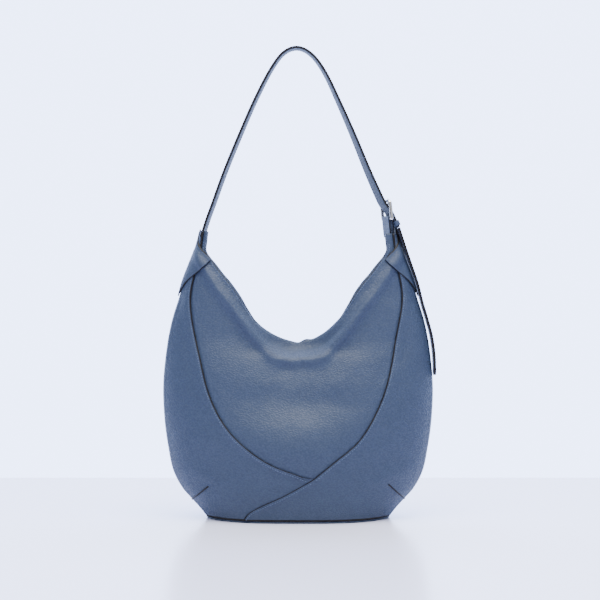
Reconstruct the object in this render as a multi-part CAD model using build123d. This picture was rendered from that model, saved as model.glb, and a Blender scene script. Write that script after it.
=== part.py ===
"""A hobo bag in pebbled leather: body panels, base, lining, pockets, and a buckled shoulder strap.

Millimetres, +Z up, the front of the bag faces -Y, and the bag stands on z = 0.
The body is one smooth form, given by level sections. Panels are thin shells cut from it.
"""
import os
from math import atan2, cos, degrees, exp, radians, sin

from build123d import *

# --- the body's form: height, half width, half depth, squareness and waist pinch of each level section
STATIONS = (
    (2.5, 117.0, 55.0, 3.2, 0.0),
    (13.5, 126.0, 56.5, 3.0, 0.0),
    (24.5, 136.0, 58.0, 2.9, 0.0),
    (38.0, 148.0, 60.0, 2.8, 0.0),
    (60.0, 159.5, 62.0, 2.7, 0.0),
    (90.0, 166.0, 63.0, 2.7, 0.5),
    (120.0, 170.3, 62.0, 2.7, 4.0),
    (155.0, 172.5, 58.0, 2.8, 11.0),
    (180.0, 172.0, 52.0, 2.9, 15.0),
    (204.0, 169.7, 45.0, 3.1, 22.0),
    (217.0, 168.0, 41.0, 3.3, 32.0),
    (230.0, 166.0, 37.0, 3.5, 30.5),
    (254.0, 160.8, 32.0, 4.2, 22.0),
    (282.0, 152.0, 27.0, 5.2, 14.0),
    (303.0, 146.0, 23.0, 6.5, 8.0),
    (330.0, 135.5, 17.0, 10.0, 3.0),
    (350.0, 128.0, 13.5, 14.0, 0.0),
    (368.0, 123.5, 12.0, 16.0, 0.0),
)
ACROSS = (0.0, 0.2, 0.4, 0.6, 0.76, 0.88, 0.95, 0.985, 1.0)  # fractions of the half width
ROUNDNESS = 1.45
PINCH_WIDTH = 60.0

LEATHER = 1.6
LINING = 0.8
FACE_GAP = 0.05  # between two skins that follow each other
INNER_FACE = LEATHER + FACE_GAP + LINING
BASE_THICK = 2.5
BOARD_THICK = 2.0
NECK_TOP = 357.5
FACING_DROP = 34.0
FACING_PROUD = 3.0

# right half of the mouth's edge, from the centre to the neck
MOUTH = ((0.0, 225.0), (27.0, 233.5), (61.0, 267.0), (94.0, 310.0), (111.0, 335.0), (112.5, 368.0))
# edges of the overlaid side panels on the front, (x, z)
LEFT_OVERLAY = (
    (-124.0, 330.0),
    (-135.0, 285.0),
    (-127.0, 229.0),
    (-110.0, 159.0),
    (-79.0, 109.0),
    (-35.0, 75.0),
    (3.0, 60.0),
    (17.3, 55.0),
)
RIGHT_OVERLAY = (
    (118.0, 330.0),
    (131.0, 280.0),
    (122.6, 230.0),
    (108.0, 163.0),
    (75.0, 103.0),
    (43.0, 76.0),
    (17.3, 55.0),
    (-18.0, 35.0),
    (-50.0, 20.0),
    (-69.0, 0.0),
)
# lower edge of a corner patch, on the right half
PATCH_EDGE = ((100.0, 336.0), (112.0, 328.0), (127.0, 313.5), (141.0, 301.0), (149.0, 290.0), (152.0, 284.0), (175.0, 284.0))
PATCH_THICK = 1.4

# strap: x of its front outer edge, z and twist about the vertical in degrees
STRAP_WIDE = 20.0
STRAP_THICK = 3.2
STRAP_PATH = (
    (-125.2, 359.0, -8.0),
    (-119.0, 379.0, -8.0),
    (-111.0, 401.0, -8.0),
    (-95.0, 445.0, -8.0),
    (-75.5, 492.0, -7.0),
    (-56.5, 535.0, -6.0),
    (-36.0, 574.0, -4.0),
    (-19.0, 595.5, -2.0),
    (0.0, 601.8, 0.0),
    (19.0, 592.5, 3.0),
    (36.5, 569.5, 6.0),
    (55.0, 532.0, 10.0),
    (74.0, 490.0, 14.0),
    (93.0, 445.0, 18.0),
    (106.0, 416.5, 21.0),
    (113.2, 402.0, 22.0),
    (120.8, 391.5, 22.0),
    (126.3, 380.0, 22.0),
    (130.0, 371.3, 21.0),
)
TAIL_PATH = (
    (130.9, 370.0, 15.0),
    (136.6, 354.0, 8.0),
    (143.4, 334.0, 3.0),
    (150.2, 314.0, 0.0),
    (155.3, 297.0, 0.0),
    (160.0, 275.0, 0.0),
    (166.8, 252.0, 0.0),
    (172.0, 232.0, 0.0),
    (175.3, 208.0, 0.0),
    (176.3, 182.0, 0.0),
)

# buckle, turned with the strap
SWING_Z = 380.0  # height of the line that the strap swings about
SWING_R = 21.0  # how far below that line the swinging ends may reach
BUCKLE_TURN = 22.0
PIN_X = 114.2
PIN_Z = 382.6
PIN_R = 1.5
BAR_Z = 404.5
BAR_X = 111.9
BAR_R = 2.0
ARM_Y = 13.0
ARM_THICK = 2.0
ARM_WIDE = 4.5
PRONG_R = 1.2
PRONG_GAP = 0.06
CHAPE_THICK = 1.5
CHAPE_FOOT = (111.5, 359.0)
HOLE_R = 1.5
# the worn hole that the prong stands in, measured from the buckle's pin
SLOT_LONG = 22.0
SLOT_WIDE = 4.6
SLOT_DEEP = 9.0
SLOT_OUT = 3.5
SLOT_UP = 6.0

# snap in the mouth
SNAP_Z = 216.0
SNAP_R = 7.0
SNAP_DEEP = 5.0
STUD_R = 2.8
STUD_GAP = 0.2

# zip pocket that hangs at the back
POUCH_FACE = 23.0
POUCH_THICK = 3.0
POUCH_HALF = 85.0
POUCH_LOW = 78.0
POUCH_TOP = 200.0
ZIP_Z = 170.0
ZIP_HALF = 74.0
TAPE_WIDE = 22.0
TAPE_THICK = 0.7
TEETH_WIDE = 4.0
TEETH_THICK = 1.0
SLIDER_LONG = 8.0

OPEN_WIDE = 200.0  # more than any half depth, for cutting tools


def outer_depth(station, across, inset):
    """Distance of the body's face from the middle plane, at a fraction of its half width."""
    _, half_width, half_depth, square, pinch = station
    shape = (1.0 - across**square) ** (1.0 / ROUNDNESS)
    waist = pinch * exp(-((across * half_width / PINCH_WIDTH) ** 2))
    return (half_depth - inset) * shape - waist * shape


def half_section(station, inset, behind):
    """Front half of one level section, closed by a straight line a little behind the middle plane."""
    height = station[0]
    half_width = station[1] - inset
    fractions = [-f for f in reversed(ACROSS[1:])] + list(ACROSS)
    points = [(f * half_width, -outer_depth(station, abs(f), inset), height) for f in fractions]
    face_edge = Spline(*points)
    first, last = points[0], points[-1]
    if behind > 0:
        corner_a = (last[0], behind, height)
        corner_b = (first[0], behind, height)
        closing = [Line(last, corner_a), Line(corner_a, corner_b), Line(corner_b, first)]
    else:
        closing = [Line(last, first)]
    return make_face([face_edge, *closing])


def half_body(inset, behind=0.0):
    """Front half of the body, its face set in (or out, if negative) from the leather's outside."""
    return loft([half_section(station, inset, behind) for station in STATIONS])


def side_prism(points, closing):
    """A straight cutter along Y: a smooth curve in XZ closed by straight lines."""
    curve = Spline(*[(x, 0, z) for x, z in points])
    corners = [(x, 0, z) for x, z in closing]
    lines = Polyline((points[-1][0], 0, points[-1][1]), *corners, (points[0][0], 0, points[0][1]))
    face = make_face([curve, *lines.edges()])
    return extrude(face, amount=OPEN_WIDE, dir=(0, 1, 0), both=True)


def mouth_cutter(drop):
    """Everything above the mouth's edge, lowered by a distance."""
    right = [(x, z - drop) for x, z in MOUTH]
    left = [(-x, z) for x, z in reversed(right[1:])]
    top = NECK_TOP + 60.0
    return side_prism(left + right, [(right[-1][0], top), (left[0][0], top)])


def above(height):
    """Everything above a height."""
    return Pos(0, 0, height) * Box(
        2 * OPEN_WIDE, 2 * OPEN_WIDE, OPEN_WIDE, align=(Align.CENTER, Align.CENTER, Align.MIN)
    )


def shell(outside, inside):
    """Front half of a thin shell between two insets."""
    return half_body(outside) - half_body(inside, behind=1.0)


def right_region():
    """Where the right side panel lies."""
    points = RIGHT_OVERLAY
    return side_prism(points, [(points[-1][0], -40.0), (OPEN_WIDE, -40.0), (OPEN_WIDE, 400.0), (points[0][0] - 8, 400.0)])


def left_region():
    """Where the left side panel lies."""
    points = LEFT_OVERLAY
    return side_prism(
        points, [(points[-1][0], -40.0), (-OPEN_WIDE, -40.0), (-OPEN_WIDE, 400.0), (points[0][0] + 8, 400.0)]
    )


def patch_region():
    """Where the right corner patch lies."""
    return side_prism(PATCH_EDGE, [(OPEN_WIDE, 400.0), (100.0, 400.0)])


def biggest(shape):
    """The largest solid of a shape, without slivers."""
    return max(shape.solids(), key=lambda solid: solid.volume)


def body_panels():
    """Three front panels and their mirrored back panels."""
    skin = shell(0.0, LEATHER) - mouth_cutter(0.0) - above(NECK_TOP)
    right = skin & right_region()
    rest = skin - right_region()
    left = rest & left_region()
    centre = rest - left_region()
    panels = {}
    for place, piece in (("left", left), ("right", right), ("centre", centre)):
        solid = biggest(piece)
        panels[f"front_{place}_panel"] = solid
        panels[f"back_{place}_panel"] = mirror(solid, about=Plane.XZ)
    return panels


def linings():
    """Fabric lining below the mouth's leather facing, front and back."""
    inner = shell(LEATHER + FACE_GAP, INNER_FACE) - above(NECK_TOP)
    floor = BASE_THICK + BOARD_THICK + LINING
    cloth = biggest((inner - mouth_cutter(FACING_DROP)) & above(floor))
    facing = biggest((inner & mouth_cutter(FACING_DROP)) - mouth_cutter(-FACING_PROUD))
    return {
        "front_lining": cloth,
        "back_lining": mirror(cloth, about=Plane.XZ),
        "front_facing": facing,
        "back_facing": mirror(facing, about=Plane.XZ),
    }


def whole_section(inset):
    """The lowest section's whole outline as a face at z = 0."""
    half = Pos(0, 0, -STATIONS[0][0]) * half_section(STATIONS[0], inset, 0.0)
    return (half + mirror(half, about=Plane.XZ)).clean()


def base_parts():
    """Base leather, stiffening board and the lining's floor, stacked."""
    base = extrude(whole_section(0.0), amount=BASE_THICK, dir=(0, 0, 1))
    board = Pos(0, 0, BASE_THICK) * extrude(whole_section(LEATHER + 0.3), amount=BOARD_THICK, dir=(0, 0, 1))
    floor = Pos(0, 0, BASE_THICK + BOARD_THICK) * extrude(
        whole_section(LEATHER + 0.3), amount=LINING, dir=(0, 0, 1)
    )
    return {"base_panel": biggest(base), "base_board": biggest(board), "lining_floor": biggest(floor)}


def corner_patches():
    """Leather patches that wrap round the side seams at the top corners."""
    front = (shell(-PATCH_THICK - FACE_GAP, -FACE_GAP) - above(NECK_TOP)) & patch_region()
    patch = biggest(front + mirror(front, about=Plane.XZ))
    return {"right_corner_patch": patch, "left_corner_patch": mirror(patch, about=Plane.YZ)}


def smooth(path, steps=3):
    """A path with points added along a smooth curve through its own."""
    ends = [path[0], *path, path[-1]]
    out = []
    for index in range(len(path) - 1):
        a, b, c, d = ends[index : index + 4]
        for step in range(steps):
            t = step / steps
            weights = (
                -0.5 * t + t**2 - 0.5 * t**3,
                1 - 2.5 * t**2 + 1.5 * t**3,
                0.5 * t + 2 * t**2 - 1.5 * t**3,
                -0.5 * t**2 + 0.5 * t**3,
            )
            out.append(tuple(sum(w * p[k] for w, p in zip(weights, (a, b, c, d))) for k in range(3)))
    return [*out, path[-1]]


def ribbon_frame(path, index):
    """Centre plane of a ribbon's section: X across its width, Y through its thickness."""
    before = path[max(index - 1, 0)]
    after = path[min(index + 1, len(path) - 1)]
    along = Vector(after[0] - before[0], 0, after[1] - before[1]).normalized()
    edge_x, height, twist = path[index]
    across = Vector(-sin(radians(twist)), cos(radians(twist)), 0)
    across = (across - along * across.dot(along)).normalized()
    through = along.cross(across)
    edge = Vector(edge_x, -STRAP_WIDE / 2 * cos(radians(twist)), height)
    middle = edge + across * (STRAP_WIDE / 2) - inward(through, edge) * (-STRAP_THICK / 2)
    return Plane(origin=middle, x_dir=across, z_dir=along)


def inward(through, edge):
    """The thickness direction, turned towards the inside of the strap's arch."""
    return through if through.dot(Vector(-edge.X, 0, 300.0 - edge.Z)) > 0 else through * -1


def ribbon(path, low, high):
    """A strip along a path, between two levels of its thickness measured from its outer face."""
    sections = []
    fine = smooth(path)
    for index in range(len(fine)):
        plane = ribbon_frame(fine, index)
        inner_side = inward(plane.y_dir, plane.origin)
        shift = inner_side * ((low + high) / 2 - STRAP_THICK / 2)
        moved = Plane(origin=plane.origin + shift, x_dir=plane.x_dir, z_dir=plane.z_dir)
        sections.append(moved * Rectangle(STRAP_WIDE, high - low))
    return loft(sections, ruled=True)


def swing_room(solid):
    """A solid trimmed round below the line that the strap swings about."""
    low = Pos(0, 0, SWING_Z) * Box(600, 80, 60, align=(Align.CENTER, Align.CENTER, Align.MAX))
    keep = Pos(0, 0, SWING_Z) * Rot(0, 90, 0) * Cylinder(SWING_R, 600)
    return biggest(solid - (low - keep))


def strap_hole(index_a, index_b, share):
    """A hole right through the strap between two points of its path."""
    a = ribbon_frame(STRAP_PATH, index_a)
    b = ribbon_frame(STRAP_PATH, index_b)
    middle = a.origin * (1 - share) + b.origin * share
    plane = Plane(origin=middle, x_dir=a.z_dir, z_dir=a.y_dir)
    return extrude(plane * Circle(HOLE_R), amount=2 * STRAP_THICK, both=True)


def buckle_place():
    """Origin at the buckle's pin, X outward from the bag, Y along the pin."""
    return Pos(PIN_X, 0, PIN_Z) * Rot(0, 0, BUCKLE_TURN)


def rod(radius, length, x=0.0, z=0.0):
    """A round bar along Y, centred on the middle plane."""
    return Pos(x, 0, z) * Rot(90, 0, 0) * Cylinder(radius, length)


def buckle_parts():
    """Frame of two flat arms and a far bar, its pin, and the prong that turns on the pin."""
    bar_x, bar_z = BAR_X - PIN_X, BAR_Z - PIN_Z
    lean = degrees(atan2(bar_x, bar_z))
    arm_long = (bar_x**2 + bar_z**2) ** 0.5
    arm = extrude(SlotCenterToCenter(arm_long, ARM_WIDE), amount=ARM_THICK / 2, both=True)
    arm = Rot(90, 0, 0) * Rot(0, 0, 90 - lean) * Pos(arm_long / 2, 0, 0) * arm
    frame = rod(BAR_R, 2 * ARM_Y, bar_x, bar_z)
    for side in (-1, 1):
        frame += Pos(0, side * ARM_Y, 0) * arm
    frame -= rod(PIN_R, 3 * ARM_Y)
    pin = rod(PIN_R, 2 * ARM_Y + ARM_THICK)
    reach = arm_long + 3.0
    shank = Pos(BAR_R + PRONG_R + 0.35, 0, 0) * Rot(0, lean, 0) * Pos(0, 0, reach / 2) * Cylinder(PRONG_R, reach)
    shank += Rot(0, lean, 0) * Pos(BAR_R / 2 + 0.9, 0, 0) * Box(3.4, 2 * PRONG_R, 3.0)
    eye = rod(PIN_R + 1.2, 2 * PRONG_R + 1.6)
    prong = shank + eye - rod(PIN_R + PRONG_GAP, 10)
    place = buckle_place()
    return {
        "buckle_frame": biggest(place * frame),
        "buckle_pin": biggest(place * pin),
        "buckle_prong": biggest(place * prong),
    }


def chape():
    """Folded strip that ties the buckle's pin to the bag's right neck."""
    foot_x, foot_z = CHAPE_FOOT[0] - PIN_X, CHAPE_FOOT[1] - PIN_Z
    long = (foot_x**2 + foot_z**2) ** 0.5
    lean = degrees(atan2(-foot_x, -foot_z))
    outside = PIN_R + CHAPE_THICK
    fold = Box(2 * outside, STRAP_WIDE, long, align=(Align.CENTER, Align.CENTER, Align.MAX)) + rod(outside, STRAP_WIDE)
    fold -= rod(PIN_R, STRAP_WIDE)
    fold -= Pos(0, 0, 1.0) * Box(4 * outside, 6.0, 10.0)
    folded = Rot(0, lean, 0) * fold
    return {"chape": swing_room(buckle_place() * folded)}


def keeper():
    """Leather ring round the strap's end below the buckle."""
    plane = ribbon_frame(STRAP_PATH, len(STRAP_PATH) - 2)
    middle = Plane(origin=plane.origin - plane.z_dir * -3.0, x_dir=plane.x_dir, z_dir=plane.z_dir)
    gap, wall = 0.3, 1.3
    outside = Rectangle(STRAP_WIDE + 2 * (gap + wall), STRAP_THICK + 2 * (gap + wall))
    inside = Rectangle(STRAP_WIDE + 2 * gap, STRAP_THICK + 2 * gap)
    ring = extrude(middle * (fillet(outside.vertices(), 1.2) - inside), amount=3.5, both=True)
    return {"keeper_loop": biggest(ring)}


def strap():
    """Two leather layers of the strap with its adjusting holes, and the two layers of its free tail."""
    half = STRAP_THICK / 2
    slot = buckle_place() * Pos(SLOT_OUT, 0, SLOT_UP) * Box(SLOT_DEEP, SLOT_WIDE, SLOT_LONG)
    holes = [strap_hole(12, 13, 0.73), strap_hole(13, 14, 0.74), slot]
    parts = {}
    for name, low, high in (("outer", 0.0, half), ("inner", half, STRAP_THICK)):
        layer = ribbon(STRAP_PATH, low, high)
        for hole in holes:
            layer -= hole
        parts[f"strap_{name}_layer"] = swing_room(layer)
        parts[f"tail_{name}_layer"] = biggest(ribbon(TAIL_PATH, low, high))
    return parts


def snap():
    """Magnetic snap: a socket on the front facing and a stud on the back facing."""
    depth = Pos(0, 0, SNAP_Z) * Rot(90, 0, 0)
    inner = half_body(INNER_FACE, behind=1.0)
    disc = depth * Cylinder(SNAP_R, 2 * SNAP_DEEP)
    front_half = (disc & inner) - Pos(0, 0.5, 0) * Box(400, 1.6, 900)
    hollow = depth * Cylinder(STUD_R + STUD_GAP, 6.0)
    socket = biggest(front_half - hollow)
    plate = mirror(biggest(front_half), about=Plane.XZ)
    stud = Pos(0, 0.3, SNAP_Z) * Rot(90, 0, 0) * Cylinder(STUD_R, 4.0)
    return {"snap_socket": socket, "snap_stud": biggest(plate + stud)}


def pockets():
    """Slip pocket lying on the front lining, and the flat zip pocket that hangs at the back."""
    patch = shell(INNER_FACE + FACE_GAP, INNER_FACE + 1.0)
    slip = biggest(patch & (Pos(0, 0, 100) * Box(130, 300, 90)))
    room = mirror(half_body(INNER_FACE), about=Plane.XZ)
    pouch_box = Pos(0, POUCH_FACE + POUCH_THICK / 2, (POUCH_LOW + POUCH_TOP) / 2) * Box(
        2 * POUCH_HALF, POUCH_THICK, POUCH_TOP - POUCH_LOW
    )
    return {"slip_pocket": slip, "zip_pocket": biggest(pouch_box & room)}


def zip_parts():
    """Zip on the pocket's face: two tapes, teeth, end stops, slider and its pull."""
    face = POUCH_FACE
    tape_high = (TAPE_WIDE - TEETH_WIDE) / 2
    parts = {}
    for name, side in (("upper", 1), ("lower", -1)):
        z = ZIP_Z + side * (TEETH_WIDE + tape_high) / 2
        parts[f"zip_{name}_tape"] = Pos(0, face - TAPE_THICK / 2, z) * Box(2 * ZIP_HALF, TAPE_THICK, tape_high)
    teeth_y = face - TEETH_THICK / 2
    parts["zip_teeth"] = Pos(0, teeth_y, ZIP_Z) * Box(2 * ZIP_HALF - 6, TEETH_THICK, TEETH_WIDE)
    for name, side in (("left", -1), ("right", 1)):
        x = side * (ZIP_HALF - 1.5)
        parts[f"zip_{name}_stop"] = Pos(x, face - 0.8, ZIP_Z) * Box(3.0, 1.6, TEETH_WIDE)
    front = face - TEETH_THICK - 0.3
    x = -ZIP_HALF + 3.0 + SLIDER_LONG / 2 + 0.4
    wall = Pos(x, front - 0.7, ZIP_Z) * Box(SLIDER_LONG, 1.4, 7.5)
    bridge = Pos(x, front - 3.0, ZIP_Z) * Box(1.6, 3.6, 6.5)
    bridge -= Pos(x, front - 2.7, ZIP_Z) * Box(4.0, 2.4, 4.5)
    parts["zip_slider"] = biggest(wall + bridge)
    parts["zip_pull"] = pull_tab(x, front)
    return parts


def pull_tab(x, front):
    """Flat pull with a window that hangs over the slider's bridge."""
    tab = Pos(x, front - 2.7, ZIP_Z - 9.0) * Box(6.0, 0.9, 22.0)
    tab = fillet(tab.edges().filter_by(Axis.Y), 1.4)
    window = Pos(x, front - 2.7, ZIP_Z - 1.2) * Box(2.6, 3.0, 5.2)
    return biggest(tab - window)


def build():
    """Every node by name."""
    parts = {}
    for made in (
        body_panels(),
        linings(),
        base_parts(),
        corner_patches(),
        strap(),
        buckle_parts(),
        chape(),
        keeper(),
        snap(),
        pockets(),
        zip_parts(),
    ):
        parts.update(made)
    return parts


def main():
    os.makedirs("parts", exist_ok=True)
    for name, solid in build().items():
        export_step(solid, f"parts/{name}.step")
        box = solid.bounding_box()
        print(f"{name:22s} {solid.volume:10.1f} mm3  {box.min} {box.max}")


main()
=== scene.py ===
"""A pebbled leather hobo bag, with its stage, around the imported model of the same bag."""

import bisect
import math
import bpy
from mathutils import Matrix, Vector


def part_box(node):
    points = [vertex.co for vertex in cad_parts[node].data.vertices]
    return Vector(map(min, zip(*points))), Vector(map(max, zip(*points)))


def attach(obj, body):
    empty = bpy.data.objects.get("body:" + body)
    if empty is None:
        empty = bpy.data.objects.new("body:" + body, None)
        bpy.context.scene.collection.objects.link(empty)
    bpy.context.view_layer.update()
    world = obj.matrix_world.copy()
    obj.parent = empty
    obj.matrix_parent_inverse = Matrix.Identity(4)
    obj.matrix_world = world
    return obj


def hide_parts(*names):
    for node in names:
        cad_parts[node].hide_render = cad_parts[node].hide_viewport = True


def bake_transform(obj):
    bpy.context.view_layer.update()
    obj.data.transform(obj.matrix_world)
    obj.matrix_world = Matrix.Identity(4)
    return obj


bl_info = {
    "name": "Hobo Bag",
    "version": (1, 0, 0),
    "blender": (4, 5, 0),
    "location": "View3D > Sidebar > Hobo Bag",
    "description": "Builds a leather hobo bag with overlaid panels, a buckled strap and a stage",
    "category": "Add Mesh",
}

import bpy
from mathutils import Matrix, Vector, noise

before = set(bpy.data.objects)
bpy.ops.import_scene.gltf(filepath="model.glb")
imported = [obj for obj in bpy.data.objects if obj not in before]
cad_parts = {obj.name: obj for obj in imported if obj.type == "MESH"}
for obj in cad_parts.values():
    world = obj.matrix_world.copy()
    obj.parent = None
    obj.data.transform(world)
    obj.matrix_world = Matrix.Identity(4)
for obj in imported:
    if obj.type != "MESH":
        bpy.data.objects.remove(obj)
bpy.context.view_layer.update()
MM = 0.001
# Divides the wave texture's scale, so that a rib comes out about twice its real pitch
RIB_DIVISOR = 6.28

# The body's form, in mm: height, half width, half depth, squareness and waist pinch
STATIONS = (
    (2.5, 117.0, 55.0, 3.2, 0.0),
    (13.5, 126.0, 56.5, 3.0, 0.0),
    (24.5, 136.0, 58.0, 2.9, 0.0),
    (38.0, 148.0, 60.0, 2.8, 0.0),
    (60.0, 159.5, 62.0, 2.7, 0.0),
    (90.0, 166.0, 63.0, 2.7, 0.5),
    (120.0, 170.3, 62.0, 2.7, 4.0),
    (155.0, 172.5, 58.0, 2.8, 11.0),
    (180.0, 172.0, 52.0, 2.9, 15.0),
    (204.0, 169.7, 45.0, 3.1, 22.0),
    (217.0, 168.0, 41.0, 3.3, 32.0),
    (230.0, 166.0, 37.0, 3.5, 30.5),
    (254.0, 160.8, 32.0, 4.2, 22.0),
    (282.0, 152.0, 27.0, 5.2, 14.0),
    (303.0, 146.0, 23.0, 6.5, 8.0),
    (330.0, 135.5, 17.0, 12.0, 3.0),
    (350.0, 128.0, 13.5, 24.0, 0.0),
    (368.0, 123.5, 12.5, 32.0, 0.0),
)
FOOT_Z, NECK_Z = STATIONS[0][0], STATIONS[-1][0]
ROUNDNESS = 1.45
PINCH_WIDTH = 60.0
MOUTH = ((0, 224.5), (12, 226.5), (27, 233.5), (41, 244.5), (61, 267), (83, 297), (94, 310), (104,
        323.5),
         (111, 333), (115.5, 342), (114.5, 353), (113, 366))
LEFT_EDGE = ((-119.5, 366), (-125, 332), (-135, 288), (-133, 252), (-122, 203), (-110, 159), (-91.5,
        123.5),
             (-67, 97), (-35, 75), (3, 60), (17.3, 55))
RIGHT_EDGE = ((17.3, 55), (43, 76), (75, 103), (99, 142), (113, 181), (122.6, 230), (131, 280),
              (125, 322),
              (119.5, 366))
BASE_EDGE = ((17.3, 55), (-18, 35), (-43, 23.5), (-61, 13), (-69, 2.5))
PATCH_LOW = ((152.5, 283), (148, 291), (141, 301), (127, 313.5), (119, 321), (111.5, 328.5))
PATCH_HIGH = ((111.5, 328.5), (117, 336.5), (122.6, 343.5), (125.5, 352), (124.5, 362), (122.5,
        368))
STRAP_PATH = (
    (-125.2, 359.0, -8.0), (-119.0, 379.0, -8.0), (-111.0, 401.0, -8.0), (-95.0, 445.0, -8.0),
    (-75.5, 492.0, -7.0), (-56.5, 535.0, -6.0), (-36.0, 574.0, -4.0), (-19.0, 595.5, -2.0),
    (0.0, 601.8, 0.0), (19.0, 592.5, 3.0), (36.5, 569.5, 6.0), (55.0, 532.0, 10.0),
    (74.0, 490.0, 14.0), (93.0, 445.0, 18.0), (106.0, 416.5, 21.0), (113.2, 402.0, 22.0),
    (120.8, 391.5, 22.0), (126.3, 380.0, 22.0), (130.0, 371.3, 21.0),
)
TAIL_PATH = (
    (130.3, 370.8, 19.0), (135.7, 354.0, 13.0), (142.2, 334.0, 6.0), (149.0, 314.0, 1.0),
    (154.5, 297.0, 0.0), (160.0, 275.0, 0.0), (166.8, 252.0, 0.0), (172.0, 232.0, 0.0),
    (175.3, 208.0, 0.0), (176.3, 182.0, 0.0),
)
DARTS = ((-137.0, 23.0, -112.0, 45.0), (137.0, 24.0, 113.0, 47.6))
STRAP_WIDE = 20.0
STRAP_THICK = 3.2
BUCKLE_TURN = math.radians(22.0)
PIN_AT = (114.2, 382.6)
BAR_LEAN = -0.105
# The right neck stops lower than the left one, clear of the swinging buckle
NECK_TOPS = {-1: 366.0, 1: 362.3}
MOUTH_SHARE = 0.984
OVERLAY_SHARE = 0.991
# Height of the mouth's rolled lip, and how far the centre panel tucks under the side panels
ROLL = 5.0
TUCK = 6.0
# Rows of the centre panel in mm below the mouth, close together near the lip
CENTRE_STEPS = [0.0, 0.9, 2.0] + [2.0 + 2.9 * k for k in range(1, 9)]
CENTRE_ROWS = 66
CENTRE_COLUMNS = 172
# Columns of a side panel; the first ones, in mm, round its painted edge
SIDE_COLUMNS = 44
LAP_STEPS = (0.0, 1.6, 3.0)
LINING_ROWS = 60
LINING_COLUMNS = 80
# How far a corner patch stands on the leather under it, and how much less its edges do
PATCH_LIFT = 1.5
PATCH_EDGE_DROP = 0.6
PATCH_COLUMNS = 26
PATCH_ROWS = 40
# Middles of the dimple that the wrinkles fan out from
FRONT_DIMPLE = (-10.0, 213.0)
BACK_DIMPLE = (8.0, 212.0)
# Rows of thread on a strip: across, inward and the way that they face
STRIP_THREAD = {"a": (-7.6, 0.0, -1), "b": (7.6, 0.0, -1), "c": (-7.6, 3.25, 1), "d": (7.6, 3.25,
        1)}
CHAPE_LEAN = -0.11
SENSOR = 36.0
CAMERA_AWAY = 1.80
CAMERA_SEES = 0.768
FACE = {False: "front", True: "back"}
SIDE = {-1: "left", 1: "right"}


# ---------------------------------------------------------------- small helpers
def curve(points, t):
    """A smooth curve through points, from 0 at the first to 1 at the last by index."""
    spans = len(points) - 1
    at = min(max(t, 0.0), 1.0) * spans
    index = min(int(at), spans - 1)
    u = at - index
    a = points[max(index - 1, 0)]
    b = points[index]
    c = points[index + 1]
    d = points[min(index + 2, spans)]
    return [
        0.5 * (2 * q + (r - p) * u + (2 * p - 5 * q + 4 * r - s) * u * u
               + (3 * q - p - 3 * r + s) * u**3)
        for p, q, r, s in zip(a, b, c, d)
    ]


class Route:
    """A smooth curve that is read by its length."""

    def __init__(self, points, steps=240):
        self.points = [curve(points, i / steps) for i in range(steps + 1)]
        self.lengths = [0.0]
        for a, b in zip(self.points, self.points[1:]):
            self.lengths.append(self.lengths[-1] + math.dist(a[:2], b[:2]))
        self.long = self.lengths[-1]

    def at(self, share):
        """The point at a share of the length."""
        want = min(max(share, 0.0), 1.0) * self.long
        i = min(max(bisect.bisect_left(self.lengths, want), 1), len(self.points) - 1)
        span = self.lengths[i] - self.lengths[i - 1]
        u = (want - self.lengths[i - 1]) / span if span else 0.0
        return [p + (q - p) * u for p, q in zip(self.points[i - 1], self.points[i])]

    def x_at(self, z):
        """The x of a curve that only rises or only falls, at a height."""
        pts = self.points if self.points[0][1] < self.points[-1][1] else self.points[::-1]
        heights = [p[1] for p in pts]
        i = min(max(bisect.bisect_left(heights, z), 1), len(pts) - 1)
        span = heights[i] - heights[i - 1]
        u = min(max((z - heights[i - 1]) / span, 0.0), 1.0) if span else 0.0
        return pts[i - 1][0] + (pts[i][0] - pts[i - 1][0]) * u


def smoothstep(a, b, v):
    """0 at a and before it, 1 at b and past it, smooth between."""
    t = min(max((v - a) / (b - a), 0.0), 1.0)
    return t * t * (3 - 2 * t)


def bump(v, centre, width):
    """A bell that is 1 at its centre."""
    return math.exp(-(((v - centre) / width) ** 2))


MOUTH_ROUTE = Route(MOUTH)
LEFT_ROUTE = Route(LEFT_EDGE)
RIGHT_ROUTE = Route(RIGHT_EDGE)
BASE_ROUTE = Route(BASE_EDGE)
PATCH_LOW_ROUTE = Route(PATCH_LOW)
PATCH_HIGH_ROUTE = Route(PATCH_HIGH)
MOUTH_LOW = [MOUTH_ROUTE.at(i / 60 * 0.86) for i in range(61)]


def station(z):
    """The body's measures at a height, smooth between its stations."""
    heights = [s[0] for s in STATIONS]
    z = min(max(z, heights[0]), heights[-1])
    i = min(max(bisect.bisect_right(heights, z) - 1, 0), len(STATIONS) - 2)
    a, b = STATIONS[i], STATIONS[i + 1]
    before, after = STATIONS[max(i - 1, 0)], STATIONS[min(i + 2, len(STATIONS) - 1)]
    h = b[0] - a[0]
    u = (z - a[0]) / h
    out = []
    for k in range(1, 5):
        slope_a = (b[k] - before[k]) / (b[0] - before[0]) if b[0] != before[0] else 0
        slope_b = (after[k] - a[k]) / (after[0] - a[0]) if after[0] != a[0] else 0
        out.append(
            (2 * u**3 - 3 * u**2 + 1) * a[k]
            + (u**3 - 2 * u**2 + u) * h * slope_a
            + (3 * u**2 - 2 * u**3) * b[k]
            + (u**3 - u**2) * h * slope_b
        )
    return out


def mouth_z(x):
    """Height of the mouth's edge over an x."""
    x = abs(x)
    for a, b in zip(MOUTH_LOW, MOUTH_LOW[1:]):
        if b[0] >= x:
            return a[1] + (b[1] - a[1]) * (x - a[0]) / max(b[0] - a[0], 1e-6)
    return MOUTH_LOW[-1][1] + (x - MOUTH_LOW[-1][0]) * 1.6


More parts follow.
